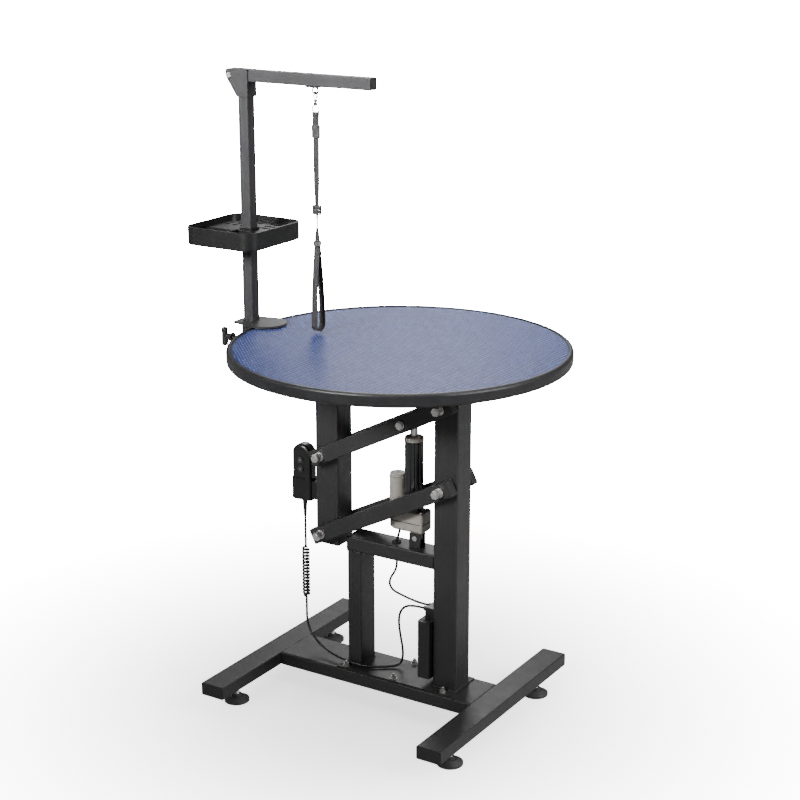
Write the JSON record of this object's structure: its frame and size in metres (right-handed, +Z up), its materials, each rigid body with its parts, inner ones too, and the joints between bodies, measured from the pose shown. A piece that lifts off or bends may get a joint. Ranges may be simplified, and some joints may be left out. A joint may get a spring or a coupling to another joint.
{
  "type": "pet grooming table",
  "caption": "Electric lift grooming table: round matted top on a parallelogram linkage, H-shaped base on levelling feet, clamp-on arm with tray and strap, wired handset.",
  "frame": {"origin": "on the floor, under the middle of the object's bounding box, with the table at its lowest position", "axes": "+Z up; +X from the arm's side to the main column's side; -Y is the front"},
  "size_m": [0.736, 0.625, 1.178],
  "materials": {
    "frame_black": "satin charcoal powder coat with a fine grain",
    "arm_black": "satin black powder coat",
    "clamp_steel": "semi-gloss black enamel",
    "cap_plastic": "matt moulded plastic",
    "black_rubber": "soft black rubber",
    "foot_rubber": "dark grey moulded pad on a steel stud",
    "zinc": "bright zinc plate",
    "brass": "plain turned bush",
    "chrome": "polished chrome",
    "housing_grey": "warm grey satin casting",
    "tube_black": "glossy black fluted extrusion",
    "cable_black": "black cable sheath",
    "gloss_black": "glossy black moulding",
    "button_grey": "light grey keypad rubber",
    "board_wood": "dark sealed board",
    "mat_blue": "blue rubber with a raised diamond texture",
    "trim_black": "satin black edge moulding",
    "knob_plastic": "matt black plastic",
    "strap_webbing": "black woven nylon webbing",
    "crimp_steel": "pressed aluminium crimp"
  },
  "bodies": {
    "base": {"base_cross_plate": "frame_black", "left_foot_beam": "frame_black", "right_foot_beam": "frame_black", "tube_end_caps": "cap_plastic", "frame_bottom_plate": "frame_black", "frame_bolts": "zinc", "left_support_column": "frame_black", "right_main_column": "frame_black", "cross_channel": "frame_black", "cable_grommet": "black_rubber", "actuator_lower_bracket": "frame_black", "column_pivot_bolts": "zinc", "gear_housing": "housing_grey", "motor_housing": "housing_grey", "actuator_tube": "tube_black", "actuator_tube_cap": "housing_grey", "actuator_cable": "cable_black", "control_box_case": "gloss_black", "control_box_connectors": "gloss_black", "handset_cord": "cable_black"},
    "front_left_foot": {"foot_front_left": "foot_rubber"},
    "front_right_foot": {"foot_front_right": "foot_rubber"},
    "rear_left_foot": {"foot_rear_left": "foot_rubber"},
    "rear_right_foot": {"foot_rear_right": "foot_rubber"},
    "lower_links": {"front_lower_link": "frame_black", "rear_lower_link": "frame_black", "lower_link_bushes": "brass"},
    "upper_links": {"front_upper_link": "frame_black", "rear_upper_link": "frame_black", "upper_link_bushes": "brass", "actuator_link_pin": "zinc"},
    "rod": {"actuator_rod": "chrome"},
    "coil": {"handset_coil": "cable_black"},
    "table": {"table_post": "frame_black", "table_support_frame": "frame_black", "post_pivot_bolts": "zinc", "tabletop_board": "board_wood", "rubber_mat": "mat_blue", "edge_trim": "trim_black", "handset_holder": "gloss_black", "clamp_bracket": "clamp_steel"},
    "handset": {"handset_front_shell": "gloss_black", "handset_back_shell": "gloss_black", "handset_strain_relief": "cable_black", "handset_lead": "cable_black"},
    "up_button": {"button_up": "button_grey"},
    "down_button": {"button_down": "button_grey"},
    "clamp_screw": {"clamp_screw": "zinc"},
    "lock_knob": {"arm_lock_knob": "knob_plastic"},
    "arm": {"arm_post": "arm_black", "corner_bracket": "arm_black", "boom_pin": "zinc"},
    "tray": {"tool_tray": "gloss_black"},
    "boom": {"boom_tube": "arm_black", "boom_end_cap": "cap_plastic", "boom_hook": "arm_black"},
    "strap": {"snap_hook": "chrome", "grooming_strap": "strap_webbing", "strap_fittings": "crimp_steel"},
    "slider": {"strap_slider": "knob_plastic"}
  },
  "joints": [
    {"name": "lift", "type": "hinge", "parent": "base", "child": "lower_links", "pos_m": [0.1675, 0, 0.458], "axis": [0, 1, 0], "range_deg": [0, 54]},
    {"name": "table_level", "type": "hinge", "parent": "lower_links", "child": "table", "pos_m": [-0.09089, 0, 0.32634], "axis": [0, 1, 0], "range_deg": [-54, 0]},
    {"name": "upper_links_swing", "type": "hinge", "parent": "base", "child": "upper_links", "pos_m": [0.1675, 0, 0.6125], "axis": [0, 1, 0], "range_deg": [0, 54]},
    {"name": "rod_extend", "type": "slide", "parent": "base", "child": "rod", "axis": [0, 0, 1], "range_m": [0, 0.0834]},
    {"name": "coil_stretch", "type": "slide", "parent": "base", "child": "coil", "axis": [0, 0, 1], "range_m": [0, 0.2635], "deforming": ["handset_coil"]},
    {"name": "front_left_level", "type": "slide", "parent": "base", "child": "front_left_foot", "axis": [0, 0, -1], "range_m": [-0.01, 0.01]},
    {"name": "front_right_level", "type": "slide", "parent": "base", "child": "front_right_foot", "axis": [0, 0, -1], "range_m": [-0.01, 0.01]},
    {"name": "rear_left_level", "type": "slide", "parent": "base", "child": "rear_left_foot", "axis": [0, 0, -1], "range_m": [-0.01, 0.01]},
    {"name": "rear_right_level", "type": "slide", "parent": "base", "child": "rear_right_foot", "axis": [0, 0, -1], "range_m": [-0.01, 0.01]},
    {"name": "handset_lift_out", "type": "slide", "parent": "table", "child": "handset", "axis": [0, 0, 1], "range_m": [0, 0.06]},
    {"name": "up_press", "type": "slide", "parent": "handset", "child": "up_button", "axis": [0, 1, 0], "range_m": [0, 0.0015], "stiffness_N_per_m": 400},
    {"name": "down_press", "type": "slide", "parent": "handset", "child": "down_button", "axis": [0, 1, 0], "range_m": [0, 0.0015], "stiffness_N_per_m": 400},
    {"name": "clamp_release", "type": "slide", "parent": "table", "child": "clamp_screw", "axis": [0, 0, -1], "range_m": [0, 0.022]},
    {"name": "knob_turn", "type": "hinge", "parent": "table", "child": "lock_knob", "pos_m": [-0.3, 0, 0.667], "axis": [1, 0, 0], "continuous": true},
    {"name": "arm_height", "type": "slide", "parent": "table", "child": "arm", "axis": [0, 0, 1], "range_m": [0, 0.045]},
    {"name": "tray_height", "type": "slide", "parent": "arm", "child": "tray", "axis": [0, 0, 1], "range_m": [-0.14, 0.1]},
    {"name": "boom_fold", "type": "hinge", "parent": "arm", "child": "boom", "pos_m": [-0.3035, 0, 1.167], "axis": [0, -1, 0], "range_deg": [0, 235]},
    {"name": "strap_swing", "type": "hinge", "parent": "boom", "child": "strap", "pos_m": [-0.122, 0, 1.1481], "axis": [0, -1, 0], "range_deg": [-8, 60]},
    {"name": "slider_move", "type": "slide", "parent": "strap", "child": "slider", "axis": [0, 0, 1], "range_m": [-0.035, 0.12]}
  ],
  "couplings": [
    {"joint": "table_level", "follows": "lift", "ratio": -1},
    {"joint": "upper_links_swing", "follows": "lift", "ratio": 1},
    {"joint": "rod_extend", "follows": "lift", "m_per_rad": 0.0883},
    {"joint": "coil_stretch", "follows": "lift", "m_per_rad": 0.27939}
  ]
}
